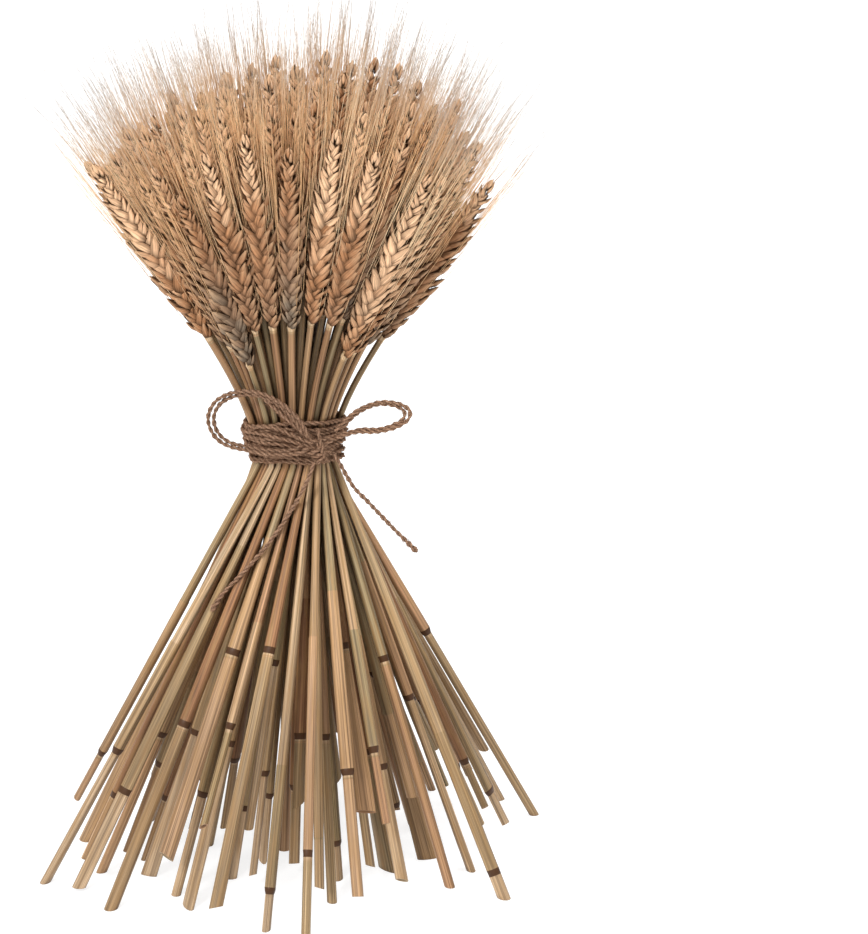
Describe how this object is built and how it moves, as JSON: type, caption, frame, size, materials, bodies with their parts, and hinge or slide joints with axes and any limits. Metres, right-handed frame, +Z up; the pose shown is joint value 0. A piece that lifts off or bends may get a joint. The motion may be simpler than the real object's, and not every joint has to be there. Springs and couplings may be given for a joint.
{
  "type": "tied wheat sheaf",
  "caption": "Standing sheaf of dried bearded wheat, tied at the waist with jute twine in a bow and spread to stand on its cut straw ends; a table or shelf decoration.",
  "frame": {"origin": "on the floor, under the middle of the tie", "axes": "+Z up along the sheaf, -Y towards the front, where the knot and the bow are"},
  "size_m": [0.2544, 0.2633, 0.4436],
  "materials": {
    "straw": "dry straw and grain, satin",
    "twine": "rough jute"
  },
  "bodies": {
    "root": {"stalk_pair_01": "straw", "stalk_pair_02": "straw", "stalk_pair_03": "straw", "stalk_pair_04": "straw", "stalk_pair_05": "straw", "stalk_pair_06": "straw", "stalk_pair_07": "straw", "stalk_pair_08": "straw", "stalk_pair_09": "straw", "stalk_pair_10": "straw", "stalk_pair_11": "straw", "stalk_pair_12": "straw", "stalk_pair_13": "straw", "stalk_pair_14": "straw", "stalk_pair_15": "straw", "stalk_pair_16": "straw", "stalk_pair_17": "straw", "stalk_pair_18": "straw", "stalk_pair_19": "straw", "stalk_pair_20": "straw", "stalk_pair_21": "straw", "stalk_pair_22": "straw", "stalk_pair_23": "straw", "stalk_pair_24": "straw", "stalk_pair_25": "straw", "stalk_pair_26": "straw", "stalk_pair_27": "straw", "stalk_pair_28": "straw", "stalk_pair_29": "straw", "stalk_pair_30": "straw", "stalk_pair_31": "straw", "stalk_pair_32": "straw", "stalk_pair_33": "straw", "stalk_pair_34": "straw", "stalk_pair_35": "straw", "stalk_pair_36": "straw", "stalk_pair_37": "straw", "stalk_pair_38": "straw", "stalk_pair_39": "straw", "stalk_pair_40": "straw", "stalk_pair_41": "straw", "stalk_pair_42": "straw", "stalk_pair_43": "straw", "stalk_pair_44": "straw", "stalk_pair_45": "straw", "stalk_pair_46": "straw", "stalk_pair_47": "straw", "stalk_pair_48": "straw", "stalk_pair_49": "straw", "stalk_pair_50": "straw", "twine_band": "twine", "twine_knot": "twine", "bow_loop_left": "twine", "bow_loop_right": "twine", "twine_tail_left": "twine", "twine_tail_right": "twine"}
  },
  "joints": []
}
